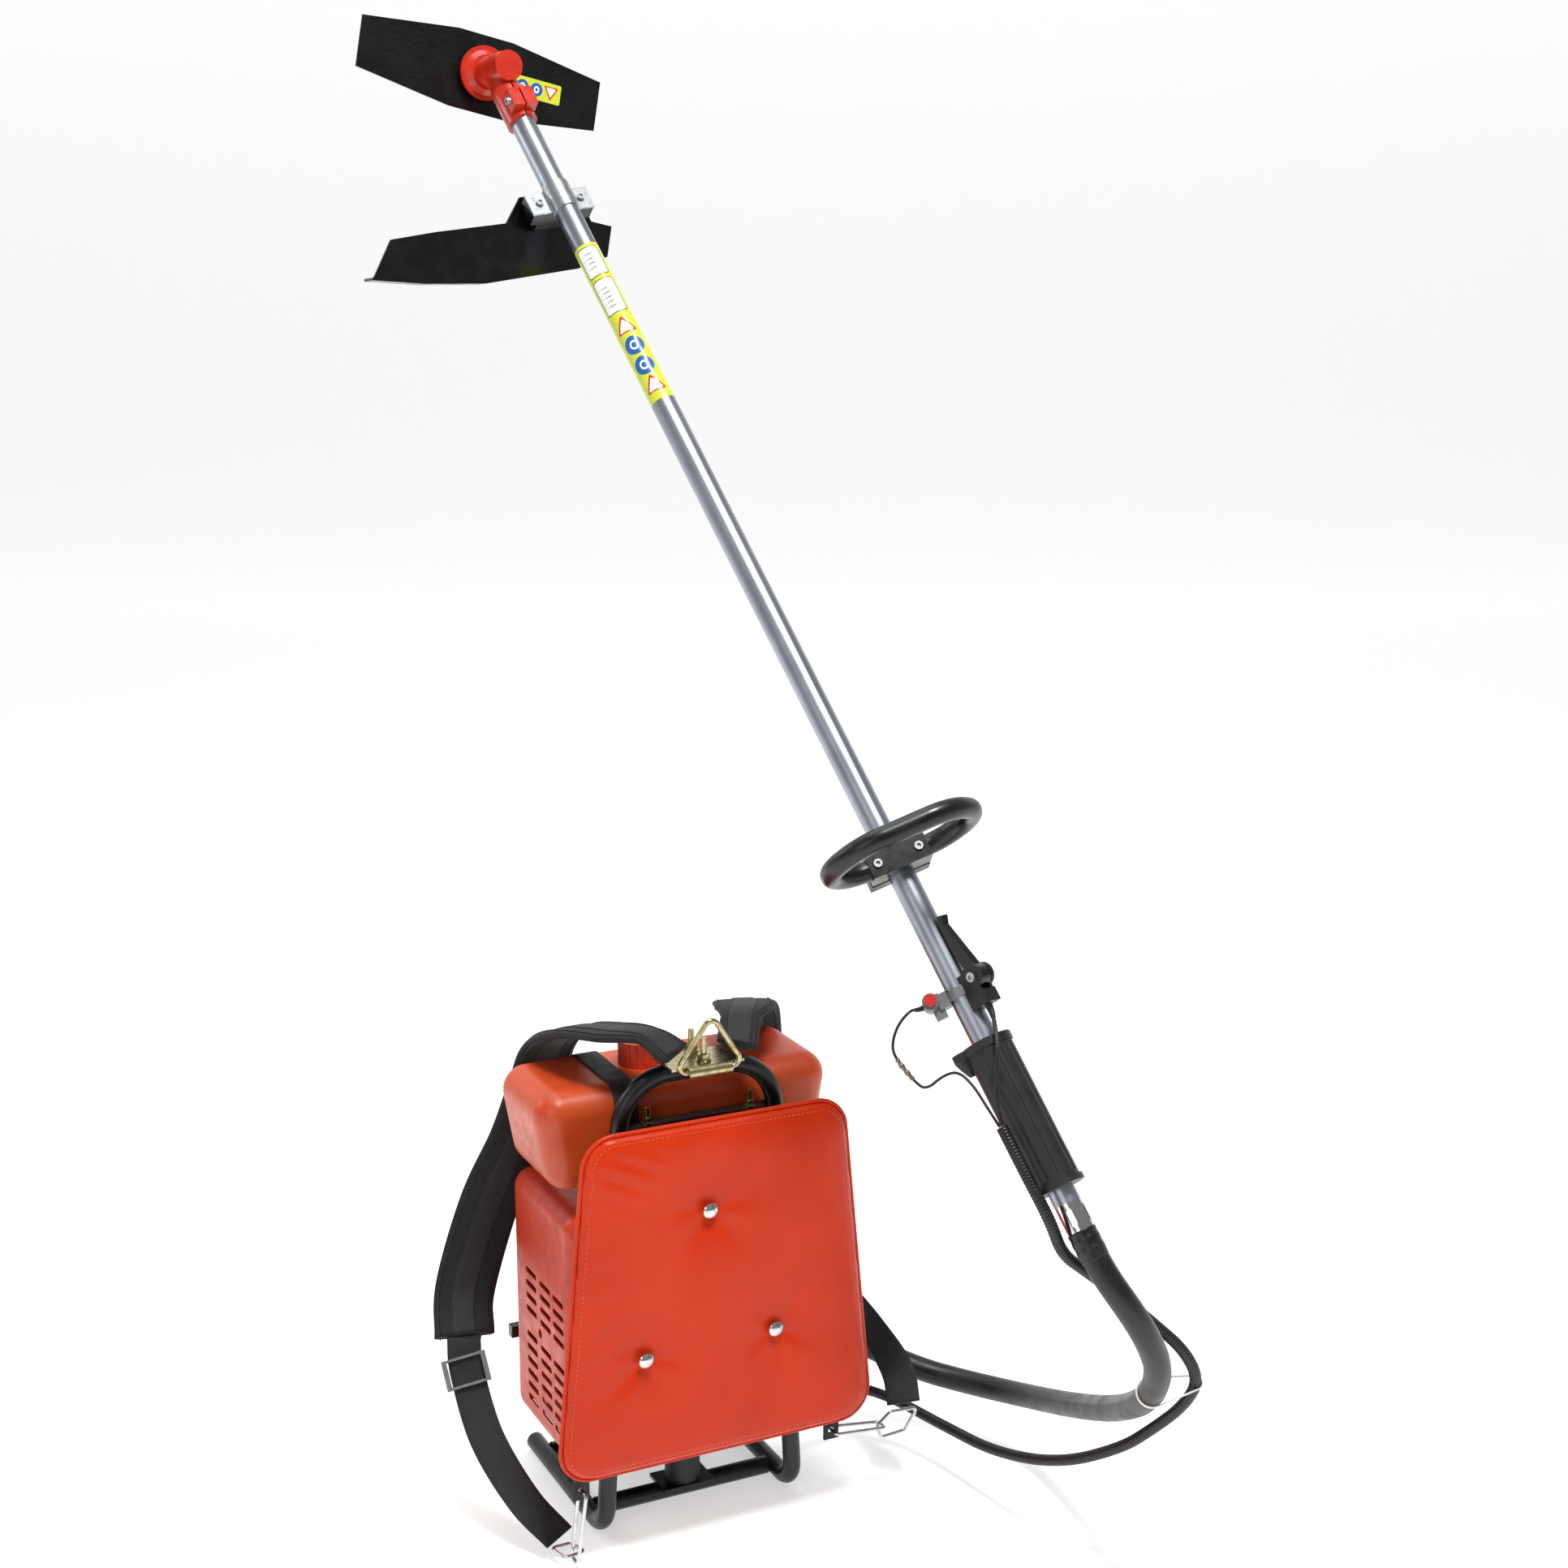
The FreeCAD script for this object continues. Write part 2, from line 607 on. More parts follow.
strap_ring_outer = cylinder("bracket_outer", S.tube_d + 4, 34, at(0, 0, float(S.guard_at) - 16))
strap_ears = box("bracket_ears", 2.5, 78, 28, at(-4.25, 0, float(S.guard_at) - 14))
below = box("bracket_below", 30, 60, 60, at(-20.5, 0, float(S.guard_at) - 30))
band = cut("bracket_band", strap_ring_outer, below)
node(cut("guard_bracket", fuse("bracket_blank", band, strap_ears),
         cylinder("bracket_seat", S.tube_d + 0.1, 60, at(0, 0, float(S.guard_at) - 30)),
         *[cylinder(f"bracket_hole_{i}", 5.0, 20, at(-12, y, float(S.guard_at), X))
           for i, y in enumerate((-26, 26))]), WAND)
guard_seats = [at(-3.0, y, float(S.guard_at), X) for y in (-26, 26)]
guard_screws = screws("guard_screw", guard_seats, 4.9, 19, 9.0, 4)


# ------------------------------------------------------------------ loop handle

LOOP_TURN = 20.0
LOOP = WAND.multiply(on_wand(S.loop_at, LOOP_TURN))


def loop_handle():
    reach = float(S.loop_reach) - float(S.loop_bar) / 2
    half = (float(S.loop_width) - float(S.loop_bar)) / 2
    base = 18.0
    points = [(base, -half * 0.54, 0), (base, half * 0.54, 0), (base + 45, half, 0),
              (reach, half * 0.52, 0), (reach, -half * 0.52, 0), (base + 45, -half, 0)]
    bar = swept("loop_bar", S.loop_bar, points, [40, 40, 45, 50, 50, 45], closed=True)
    block = box("loop_block", 27, 66, 27, at(16.5, 0, -13.5))
    seat = cylinder("loop_seat", S.tube_d + 0.1, 60, at(0, 0, -30))
    holes = [cylinder(f"loop_hole_{i}", 5.2, 80, at(-30, y, 0, X)) for i, y in enumerate((-23, 23))]
    heads = [cylinder(f"loop_sink_{i}", 10, 20, at(27, y, 0, X)) for i, y in enumerate((-23, 23))]
    return cut("loop_handle", fuse("loop_blank", bar, block), seat, *holes, *heads)


node(loop_handle(), LOOP)
node(cut("loop_clamp", box("loop_cap", 17, 66, 27, at(-10.5, 0, -13.5)),
         cylinder("loop_cap_seat", S.tube_d + 0.1, 60, at(0, 0, -30)),
         *[cylinder(f"loop_cap_hole_{i}", 5.2, 60, at(-30, y, 0, X))
           for i, y in enumerate((-23, 23))]), LOOP)
ON_LOOP = on_wand(S.loop_at, LOOP_TURN)
loop_screws = screws("loop_screw", [ON_LOOP.multiply(at(27, y, 0, X)) for y in (-23, 23)],
                     5.0, 44, 9.0, 5)

# ------------------------------------------------------------------ throttle lever and stop switch

THROTTLE_TURN, SWITCH_TURN = -20.0, 118.0
THROTTLE = WAND.multiply(on_wand(S.throttle_at, THROTTLE_TURN))
SWITCH = WAND.multiply(on_wand(S.switch_at, SWITCH_TURN))
tube_r = float(S.tube_d) / 2
pivot_x = tube_r + 15.0


def throttle_housing():
    """A saddle on the tube with two cheeks round the lever's hub and a stub for the cable."""
    foot = box("throttle_foot", 12, 20, 38, at(tube_r + 3, 0, -8))
    cheeks = [cylinder(f"cheek_{i}", 25, 4, at(pivot_x, y, 0, Y)) for i, y in enumerate((6.3, -10.3))]
    webs = [box(f"cheek_web_{i}", 16, 4, 34, at(tube_r + 10, y, -4))
            for i, y in enumerate((8.3, -8.3))]
    tail = box("throttle_tail", 20, 20, 14, at(tube_r + 10, 0, 16))
    seat = cylinder("throttle_seat", S.tube_d + 0.1, 90, at(0, 0, -40))
    hub = cylinder("throttle_hub_space", 27.5, 12.4, at(pivot_x, 6.2, 0, -Y))
    pin = cylinder("throttle_pin_space", 5.0, 40, at(pivot_x, 20, 0, -Y))
    cable = cylinder("throttle_cable_space", S.cable_d, 40, at(tube_r + 10, 0, 15))
    band = cylinder("throttle_band_space", S.tube_d + 4.4, 13, at(0, 0, -1.5))
    return cut("throttle_housing", fuse("throttle_blank", foot, *cheeks, *webs, tail),
               seat, hub, pin, cable, band)


node(throttle_housing(), THROTTLE)


def throttle_lever():
    """A hub with a long tapering blade that lies along the tube and ends in a thumb hook."""
    body = new_body("lever_blade")
    outline = [(-7, -4), (8, -3), (1, -30), (-5, -54), (-7, -62), (-3, -71), (-10, -73),
               (-13, -66), (-13.5, -54), (-12.5, -26)]
    pad(body, polygon(body, "lever_outline", "XZ_Plane", outline), 9.0, symmetric=True)
    body.Placement = at(pivot_x, 0, 0)
    hub = cylinder("lever_hub", 24, 12.0, at(pivot_x, 6.0, 0, -Y))
    pin = cylinder("lever_bore", 5.0 + 2 * S.fit, 30, at(pivot_x, 15, 0, -Y))
    return cut("throttle_lever", fuse("lever_blank", body, hub), pin)


node(throttle_lever(), THROTTLE)
ON_THROTTLE = on_wand(S.throttle_at, THROTTLE_TURN)
throttle_screw = screws("throttle_screw", [ON_THROTTLE.multiply(at(pivot_x, 10.4, 0, Y))], 5.0,
                        20.6, 10.0, 3)
node(group("wand_screws", *clamp_bolt, grease_plug, *guard_screws, *loop_screws,
           *throttle_screw), WAND)

barrel_x = tube_r + 19.0
switch_block = fuse("switch_blank", box("switch_foot", 12, 14, 16, at(tube_r + 6.2, 0, -8)),
                    tube("switch_band", S.tube_d + 4, S.tube_d + 0.1, 10, at(0, 0, -5)),
                    box("switch_arm", 12, 8, 26, at(tube_r + 14, 0, -10)),
                    cylinder("switch_barrel", 17, 24, at(barrel_x, 3, -2, -Y)))
node(cut("switch_body", switch_block,
         cylinder("switch_bore", 9.2 + 2 * S.fit, 14, at(barrel_x, -9.5, -2, -Y)),
         cylinder("switch_wire_hole", S.wire_d + 0.3, 10, at(barrel_x + 5, -6, -2, X))), SWITCH)
node(fuse("stop_button", cylinder("button_stem", 9.2, 11, at(barrel_x, -15, -2, -Y)),
          cylinder("button_cap", 12, 5, at(barrel_x, -24.2, -2, -Y))), SWITCH)

# ------------------------------------------------------------------ rear grip and ferrule


def rear_grip():
    length = S.grip_end - S.grip_start
    core = cylinder("grip_core", S.grip_d, length, at(0, 0, S.grip_start))
    collar = cylinder("grip_collar", S.grip_d + 5, 6, at(0, 0, S.grip_end - 6))
    crown = cylinder("grip_crown", S.grip_d + 4, 8, at(0, 0, S.grip_start))
    lobe = cylinder("grip_lobe", 22, 8, on_wand(S.grip_start, 124, 27))
    under = cone("grip_lobe_foot", 22, 8, 18, on_wand(float(S.grip_start) + 8, 124, 27))
    bore = cylinder("grip_bore", S.tube_d, length + 4, at(0, 0, float(S.grip_start) - 2))
    flutes = [cylinder(f"grip_flute_{k}", 14, length - 22,
                       on_wand(float(S.grip_start) + 11, 40 * k + 12, float(S.grip_d) / 2 + 5.6))
              for k in range(9)]
    return cut("rear_grip", fuse("grip_blank", core, collar, crown, lobe, under), bore, *flutes)


node(rear_grip(), WAND)


def wand_ferrule():
    """The polished end of the wand, with a spigot inside the tube and four oval windows."""
    sleeve = cylinder("ferrule_sleeve", S.tube_d, S.ferrule_end - S.tube_end, at(0, 0, S.tube_end))
    spigot = cylinder("ferrule_spigot", inner_d, 16, at(0, 0, S.tube_end - 15.9))
    bore = cylinder("ferrule_bore", S.shaft_d + 2, 60, at(0, 0, float(S.tube_end) - 20))
    middle = (float(S.tube_end) + float(S.ferrule_end)) / 2
    windows = []
    for k in range(4):
        for shift, kind in ((-6, "low"), (6, "high")):
            windows.append(cylinder(f"window_{k}_{kind}", 7, 6,
                                    on_wand(middle + shift, 45 + 90 * k, 11).multiply(
                                        at(0, 0, 0, X))))
        windows.append(box(f"window_{k}_slot", 12, 7, 6,
                           on_wand(middle, 45 + 90 * k, 11).multiply(at(0, 0, 0, X))))
    return cut("wand_ferrule", fuse("ferrule_blank", sleeve, spigot), bore, *windows)


node(wand_ferrule(), WAND)

# ------------------------------------------------------------------ back frame and pad

tube_r = float(S.frame_tube) / 2
fy = float(S.frame_y)
DAMPERS = (92.0, float(S.base_back) - 32)


def back_frame():
    """One tube bent into a hoop, two legs, two feet and two base bars, with two cross bars."""
    foot, hoop, top = float(S.foot_half), float(S.hoop_half), float(S.hoop_top)
    back = float(S.base_back)
    left = [(-foot, back, tube_r), (-foot, fy, tube_r), (-hoop, fy, 440), (-hoop, fy, top)]
    right = [(-x, y, z) for x, y, z in reversed(left)]
    bends = [30, 300, 58]
    bar = swept("frame_bar", S.frame_tube, left + right, bends + bends[::-1])
    gap = 2 * foot - float(S.frame_tube) + 2
    cross = [cylinder(f"frame_cross_{i}", S.frame_tube, gap, at(-gap / 2, y, tube_r, X))
             for i, y in enumerate(DAMPERS)]
    seats = [box(f"frame_seat_{i}", 62, 44, 4, at(0, y, 2 * tube_r - 3.0))
             for i, y in enumerate(DAMPERS)]
    blank = fuse("frame_blank", bar, *cross, *seats)
    holes = [cylinder(f"frame_hole_{i}", 8.0, 60, at(0, y, -20)) for i, y in enumerate(DAMPERS)]
    return cut("back_frame", blank, *holes)


node(back_frame())


def trapezoid(name, inset, radius, thick, y):
    """A board with the pad's outline, drawn in by a margin, its front at a given depth."""
    body = new_body(name)
    low, high = S.pad_low + inset, S.pad_low + S.pad_height - inset
    bottom, top = S.pad_bottom / 2 - inset, S.pad_top / 2 - inset
    outline = [(-bottom, low), (bottom, low), (top, high), (-top, high)]
    slab = pad(body, polygon(body, f"{name}_outline", "XZ_Plane", outline), thick, reverse=True)
    round_edges(body, slab, radius, lambda e: abs(e.Vertexes[0].Y - e.Vertexes[-1].Y) > 1)
    body.Placement = at(0, y, 0)
    return body


BUTTONS = [(-13.5, 388), (-89, 233), (63, 237)]


def back_pad():
    slab = trapezoid("pad_slab", 0.0, S.pad_round, S.pad_crown, -S.pad_crown + 3)
    doc.recompute()
    rim = doc.addObject("Part::Fillet", "pad_cushion")
    rim.Base = slab
    front = [i + 1 for i, e in enumerate(slab.Shape.Edges)
             if abs(e.BoundBox.YMax - slab.Shape.BoundBox.YMin) < 0.1]
    rim.Edges = [(i, 26.0, 26.0) for i in front]
    face = 3 - float(S.pad_crown)
    tufts = [cone(f"tuft_{i}", 60, 20, 14, at(x, face - 0.01, z, Y))
             for i, (x, z) in enumerate(BUTTONS)]
    holes = [cylinder(f"tuft_hole_{i}", 5.0, 60, at(x, face - 5, z, Y))
             for i, (x, z) in enumerate(BUTTONS)]
    return cut("back_pad", rim, *tufts, *holes)


node(back_pad())
board = trapezoid("board_slab", 10.0, S.pad_round - 10, S.board_thick, 3.3)
drilled = cut("board_drilled", board, *[cylinder(f"board_hole_{i}", 4.4, 60, at(x, -20, z, Y))
                                         for i, (x, z) in enumerate(BUTTONS)])


def pad_buttons():
    seat = 3 - float(S.pad_crown) + 13.9
    made_buttons = []
    for i, (x, z) in enumerate(BUTTONS):
        dome = common(f"button_dome_{i}", ball(f"button_ball_{i}", 24, at(x, seat + 7, z)),
                      cylinder(f"button_disc_{i}", 17, 8, at(x, seat, z, -Y)))
        shank = cylinder(f"button_shank_{i}", 4.0, 3.3 + float(S.board_thick) - seat + 1,
                         at(x, seat - 1, z, Y))
        nut = cylinder(f"button_nut_{i}", 10.0, 3, at(x, 3.3 + float(S.board_thick), z, Y))
        made_buttons.append(fuse(f"button_{i}", dome, shank, nut))
    return group("pad_buttons", *made_buttons)


node(pad_buttons())

board_back = 3.3 + float(S.board_thick)
stand_length = fy - tube_r - board_back
stands = []
for i, z in enumerate((190, 420)):
    for side in (-1, 1):
        share = (z - tube_r) / (440 - tube_r)
        x = side * (float(S.foot_half) + (float(S.hoop_half) - float(S.foot_half)) * min(share, 1))
        stands.append(cylinder(f"pad_stand_{i}_{side + 1}", 16, stand_length + 1.5,
                               at(x, board_back, z, Y)))
stand_tool = swept("stand_tool", S.frame_tube + 0.1,
                   [(-float(S.foot_half), fy, tube_r), (-float(S.hoop_half), fy, 440),
                    (-float(S.hoop_half), fy, float(S.hoop_top))], [300])
stand_tool_right = new("Part::Mirroring", "stand_tool_right")
stand_tool_right.Source = stand_tool
stand_tool_right.Normal = X
stand_tools = fuse("stand_tools", stand_tool, stand_tool_right)
lugs = [cut(f"lug_{i}", box(f"lug_plate_{i}", 18, 3, 62, at(x, board_back + 1.5, 72)),
            cylinder(f"lug_hole_{i}", 8.0, 20, at(x, board_back - 5, 83, Y)))
        for i, x in enumerate((-153, 147))]
node(fuse("pad_board", drilled, *lugs,
          *[cut(f"pad_stand_cut_{i}", s, stand_tools) for i, s in enumerate(stands)]))

# ------------------------------------------------------------------ ring plate and strap ring

plate_z = float(S.hoop_top) + tube_r + 0.1
ring_y = 9.0
PLATE_BOLTS = (ring_y + 15, 56.0)


def ring_plate():
    """A plate on top of the hoop, its front edge curled round the strap ring's straight side."""
    plate = box("ring_plate_flat", 84, 50, 3, at(0, ring_y + 28, plate_z))
    curl = cylinder("ring_plate_curl", 13, 50, at(-25, ring_y, plate_z - 2.4, X))
    eye = cylinder("ring_plate_eye", S.ring_wire + 2 * S.fit, 70, at(-35, ring_y, plate_z - 2.4, X))
    holes = [cylinder(f"ring_plate_hole_{i}", 7.0, 40, at(0, y, plate_z - 20))
             for i, y in enumerate(PLATE_BOLTS)]
    return cut("ring_plate", fuse("ring_plate_blank", plate, curl), eye, *holes)


node(ring_plate())
ring_z = plate_z - 2.4
ring_points = [(-41, ring_y, ring_z), (41, ring_y, ring_z), (0, ring_y - 6, ring_z + 62)]
node(swept("strap_ring", S.ring_wire, ring_points, [8, 8, 8], closed=True))
plate_bolts = []
for i, y in enumerate(PLATE_BOLTS):
    nut = new("Part::Prism", f"plate_nut_{i}", at(0, y, plate_z + 5), Polygon=6, Circumradius=7.2,
              Height=6)
    plate_bolts.append(fuse(f"plate_bolt_{i}", nut, cylinder(f"plate_washer_{i}", 16, 2, at(0, y, plate_z + 3)),
                            cylinder(f"plate_shank_{i}", 6.9, 34, at(0, y, plate_z - 6)),
                            cylinder(f"plate_head_{i}", 11, 5.4, at(0, y, plate_z - 5.5))))

# ------------------------------------------------------------------ fuel tank

tank_mid = float(S.tank_front) + float(S.tank_depth) / 2


def fuel_tank():
    body = new_body("tank_shell")
    low = S.tank_top - S.tank_height
    outline = [(-S.tank_base / 2, low), (S.tank_base / 2, low),
               (S.tank_width / 2, S.tank_top), (-S.tank_width / 2, S.tank_top)]
    block = pad(body, polygon(body, "tank_outline", "XZ_Plane", outline), S.tank_depth,
                reverse=True)
    round_edges(body, block, S.tank_round, lambda e: True)
    body.Placement = at(0, S.tank_front, 0)
    neck = cylinder("tank_neck", 34, 9, at(cap_x, cap_y, float(S.tank_top) - 2))
    inside = rounded_box("tank_inside", S.tank_base - 20, S.tank_depth - 12, S.tank_height - 12,
                         S.tank_round - 6, at(0, tank_mid, float(S.tank_top - S.tank_height) + 6))
    filler = cylinder("tank_filler", 27, 40, at(cap_x, cap_y, float(S.tank_top) - 25))
    return cut("fuel_tank", fuse("tank_blank", body, neck), inside, filler)


cap_x, cap_y = -31.0, 128.0
node(fuel_tank())
cap_z = float(S.tank_top) + 7.0


def fuel_cap():
    shell = cylinder("cap_shell", S.cap_d, 27, at(cap_x, cap_y, cap_z - 6.5))
    thread = cylinder("cap_thread", 34 + 2 * S.fit, 7.5, at(cap_x, cap_y, cap_z - 7.4))
    ribs = [cylinder(f"cap_rib_{k}", 3.4, 24, at(cap_x, cap_y, cap_z - 5).multiply(
            on_wand(0, 20 * k, float(S.cap_d) / 2 + 0.6))) for k in range(18)]
    return cut("fuel_cap", shell, thread, *ribs)


node(fuel_cap())


def band_loop(gap, low):
    """A rounded rectangle round the tank's cross section, offset outward by a gap."""
    y0, y1 = float(S.tank_front) - gap, float(S.tank_front) + float(S.tank_depth) + gap
    z0, z1 = low - gap, float(S.tank_top) + gap
    radius = float(S.tank_round) + gap
    pts = [(0, y0, z0), (0, y1, z0), (0, y1, z1), (0, y0, z1)]
    return Part.Face(rounded_wire(pts, [radius] * 4, closed=True))


def band_shape(low):
    ring = band_loop(2.2, low).cut(band_loop(0.3, low))
    return ring.extrude(V(26, 0, 0))


band = made("tank_band", band_shape(float(S.tank_top - S.tank_height)))
band.Placement = at(-87, 0, 0)
node(band)

tank_low = float(S.tank_top - S.tank_height)
BRACKET_BOLTS = [(-56, 46), (64, 46)]


def tank_bracket():
    """An angle across the hoop's legs, its shelf under the tank and a ledge for two bolts."""
    apron = box("bracket_apron", 178, 3, 470 - tank_low + 4, at(0, 54, tank_low - 4))
    shelf = box("bracket_shelf", 135, 132, 3, at(12.5, 118.5, tank_low - 3.2))
    ledge = box("bracket_ledge", 160, 16, 3, at(0, 47.5, 467))
    ties = [box(f"bracket_tie_{i}", 12, 24, 30, at(x, 43.5, 430)) for i, x in enumerate((-83, 83))]
    holes = [cylinder(f"ledge_hole_{i}", 6.2, 20, at(x, y, 460))
             for i, (x, y) in enumerate(BRACKET_BOLTS)]
    return cut("tank_bracket", fuse("bracket_angle", apron, shelf, ledge, *ties), stand_tools, *holes)


node(tank_bracket())
bracket_bolts = []
for i, (x, y) in enumerate(BRACKET_BOLTS):
    nut = new("Part::Prism", f"bracket_nut_{i}", at(x, y, 471.6), Polygon=6, Circumradius=6.2,
              Height=5)
    bracket_bolts.append(fuse(f"bracket_bolt_{i}", nut,
                              cylinder(f"bracket_washer_{i}", 15, 1.6, at(x, y, 470)),
                              cylinder(f"bracket_shank_{i}", 6.0, 32, at(x, y, 456)),
                              cylinder(f"bracket_head_{i}", 10, 4, at(x, y, 463))))

# ------------------------------------------------------------------ engine

cz, cy = float(S.crank_z), float(S.crank_y)
carrier_z = float(S.shroud_low) - 5
node(group("damper_mounts", *[tube(f"damper_{i}", 40, 8, carrier_z - 21, at(0, y, 21))
                              for i, y in enumerate(DAMPERS)]))
damper_studs = [fuse(f"damper_stud_{i}", cylinder(f"damper_shank_{i}", 7.9, carrier_z + 12, at(0, y, 2)),
                     new("Part::Prism", f"damper_nut_{i}", at(0, y, carrier_z + 4), Polygon=6,
                         Circumradius=8.5, Height=6))
                for i, y in enumerate(DAMPERS)]
node(group("frame_bolts", *plate_bolts, *bracket_bolts, *damper_studs))


def engine_carrier():
    """The plate under the engine, with a stop for the end of the cable conduit."""
    deck = box("carrier_deck", 232, 190, 4, at(0, 165, carrier_z))
    stop = box("conduit_stop", 4, 16, 45, at(114, 98, carrier_z + 2))
    holes = [cylinder(f"carrier_hole_{i}", 8.2, 20, at(0, y, carrier_z - 8))
             for i, y in enumerate(DAMPERS)]
    return cut("engine_carrier", fuse("carrier_blank", deck, stop), *holes)


node(engine_carrier())


def crankcase():
    block = box("case_block", 96, 92, cz + 40 - carrier_z - 4, at(0, cy, carrier_z + 4))
    drum_side = cylinder("case_right", 76, 12, at(48, cy, cz, X))
    fan_side = cylinder("case_left", 64, 10, at(-58, cy, cz, X))
    web_room = cylinder("case_web_room", 70, 44, at(-22, cy, cz, X))
    seats = cylinder("case_bearing_seats", 36, 84, at(-42, cy, cz, X))
    shaft = cylinder("case_shaft_hole", S.crank_d + 4, 160, at(-80, cy, cz, X))
    liner = cylinder("case_liner_hole", S.bore_d + 5, 60, at(0, cy, cz + 5))
    return cut("crankcase", fuse("case_blank", block, drum_side, fan_side), web_room, seats,
               shaft, liner)


node(crankcase())
cyl_low = cz + 40
cyl_top = cyl_low + 118
air_z = cyl_low + 85


def cylinder_block():
    core = cylinder("barrel_core", S.bore_d + 16, cyl_top - cyl_low, at(0, cy, cyl_low))
    foot = box("barrel_foot", 74, 74, 6, at(0, cy, cyl_low))
    fins = [box(f"barrel_fin_{k}", 92, 88, 2.2, at(0, cy, cyl_low + 22 + 9 * k)) for k in range(11)]
    bore = cylinder("barrel_bore", S.bore_d, cyl_top - cyl_low - 14, at(0, cy, cyl_low - 0.1))
    plug = cylinder("barrel_plug_hole", 13.9, 40, at(0, cy, cyl_top - 30))
    port = cylinder("barrel_intake", 17, 40, at(12, cy, air_z, X))
    exhaust = cylinder("barrel_exhaust", 20, 40, at(0, cy + 12, cyl_low + 38, Y))
    return cut("cylinder_block", fuse("barrel_blank", core, foot, *fins), bore, plug, port, exhaust)


node(cylinder_block())
plug_body = cylinder("plug_body", 13.8, 18, at(0, cy, cyl_top - 13))
plug_hex = new("Part::Prism", "plug_hex", at(0, cy, cyl_top), Polygon=6, Circumradius=9.5, Height=8)
plug_boot = cylinder("plug_boot", 17, 17, at(0, cy, cyl_top + 8))
plug_arm = cylinder("plug_arm", 11, 26, at(0, cy, cyl_top + 19, -Y))
node(fuse("spark_plug", plug_body, plug_hex, plug_boot, plug_arm))

shoes = cylinder("shoe_disc", S.drum_d - 7, 14, at(78, cy, cz, X))
gaps = [box(f"shoe_gap_{i}", 18, 20, 4, at(85, cy + side * 27, cz - 2))
        for i, side in enumerate((-1, 1))]
node(fuse("crankshaft", cylinder("crank_bar", S.crank_d, 211, at(-118, cy, cz, X)),
          *[cylinder(f"crank_web_{i}", 62, 11, at(x, cy, cz, X)) for i, x in enumerate((-18, 7))],
          cylinder("crank_pin", 12, 16, at(-8, cy, cz + 18, X)), cut("clutch_shoes", shoes, *gaps)))
bearing_tubes = [tube(f"crank_bearing_{i}", 36.0, S.crank_d + 2 * S.fit, 11, at(x, cy, cz, X))
                 for i, x in enumerate((-40, 29))]
node(group("engine_bearings", *bearing_tubes,
           tube("drum_bearing", 28.0, 12.0 + 2 * S.fit, 10, at(101, cy, cz, X))))


def flywheel():
    disc = cylinder("flywheel_disc", 88, 8, at(-82, cy, cz, X))
    blades = []
    for k in range(12):
        place = Placement(V(-92, cy, cz), Rotation(X, 30 * k)).multiply(at(0, 0, 20))
        blades.append(box(f"flywheel_blade_{k}", 20, 2, 22, place))
    blank = fuse("flywheel_blank", disc, *blades)
    return cut("flywheel_fan", blank, cylinder("flywheel_bore", S.crank_d, 60, at(-110, cy, cz, X)))


node(flywheel())
pulley_groove = torus("pulley_groove", 60, 5, at(-121, cy, cz, X))
node(cut("starter_pulley", cylinder("pulley_disc", 62, 8, at(-125, cy, cz, X)), pulley_groove,
         cylinder("pulley_bore", 12.1, 30, at(-140, cy, cz, X)),
         cylinder("pulley_relief", S.crank_d + 3, 8, at(-119.5, cy, cz, X))))


def engine_shroud():
    """A cover over the fan and cylinder: a deep box, open to the right and below, with slots."""
    left, wall = float(S.shroud_left), float(S.shroud_wall)
    low, top = float(S.shroud_low), float(S.shroud_top)
    depth, width = 186.0, 176.0
    outer = rounded_box("shroud_outer", width, depth, top - low, 22.0,
                        at(-left + width / 2, cy + 5, low))
    inner = rounded_box("shroud_inner", width, depth - 2 * wall, top - low - wall, 20.0,
                        at(-left + width / 2 + wall, cy + 5, low - 0.5))
    open_right = box("shroud_open", 60, 200, 400, at(64, cy + 5, low - 20))
    open_low = box("shroud_open_low", 170, depth - 16, 30, at(-left / 2 + 20, cy + 5, low - 10))
    slots = []
    for k in range(11):
        z = low + 34 + 15.5 * k
        if k == 6:
            slots.append(cylinder("shroud_round_hole", 11, 30, at(-left - 10, cy + 8, z, X)))
            continue
        for c, y in enumerate((cy - 50, cy - 10, cy + 34)):
            slots.append(fuse(f"shroud_slot_{k}_{c}",
                              box(f"slot_mid_{k}_{c}", 30, 26, 7, at(-left, y, z - 3.5)),
                              cylinder(f"slot_front_{k}_{c}", 7, 30, at(-left - 15, y - 13, z, X)),
                              cylinder(f"slot_back_{k}_{c}", 7, 30, at(-left - 15, y + 13, z, X))))
    rope = cylinder("shroud_rope_hole", 7, 40, at(-121, cy + 80, cz + 33, Y))
    boss = cylinder("shroud_boss", 12.0, 20, at(-left + 1.5, cy, cz, X))
    return fuse("engine_shroud", cut("shroud_shell", outer, inner, open_right, open_low, rope, *slots),
                boss)


node(engine_shroud())
grip_place = at(-121, cy + 5 + 93 + 0.3, cz + 33, Y)
node(fuse("starter_grip", cylinder("grip_stub", 13, 8, grip_place),
          cylinder("grip_rope", 3, 92, at(-121, cy + 8, cz + 33, Y)),
          new("Part::Box", "grip_bar", grip_place.multiply(at(-20, -7, 8)), Length=40, Width=14,
              Height=11)))


def clutch():
    drum_outer = cylinder("drum_outer", S.drum_d, 22, at(76, cy, cz, X))
    drum_room = cylinder("drum_room", S.drum_d - 5, 22, at(73, cy, cz, X))
    stub = cylinder("drum_stub", 12.0, 46, at(97, cy, cz, X))
    node(fuse("clutch_drum", cut("drum_cup", drum_outer, drum_room), stub))


clutch()


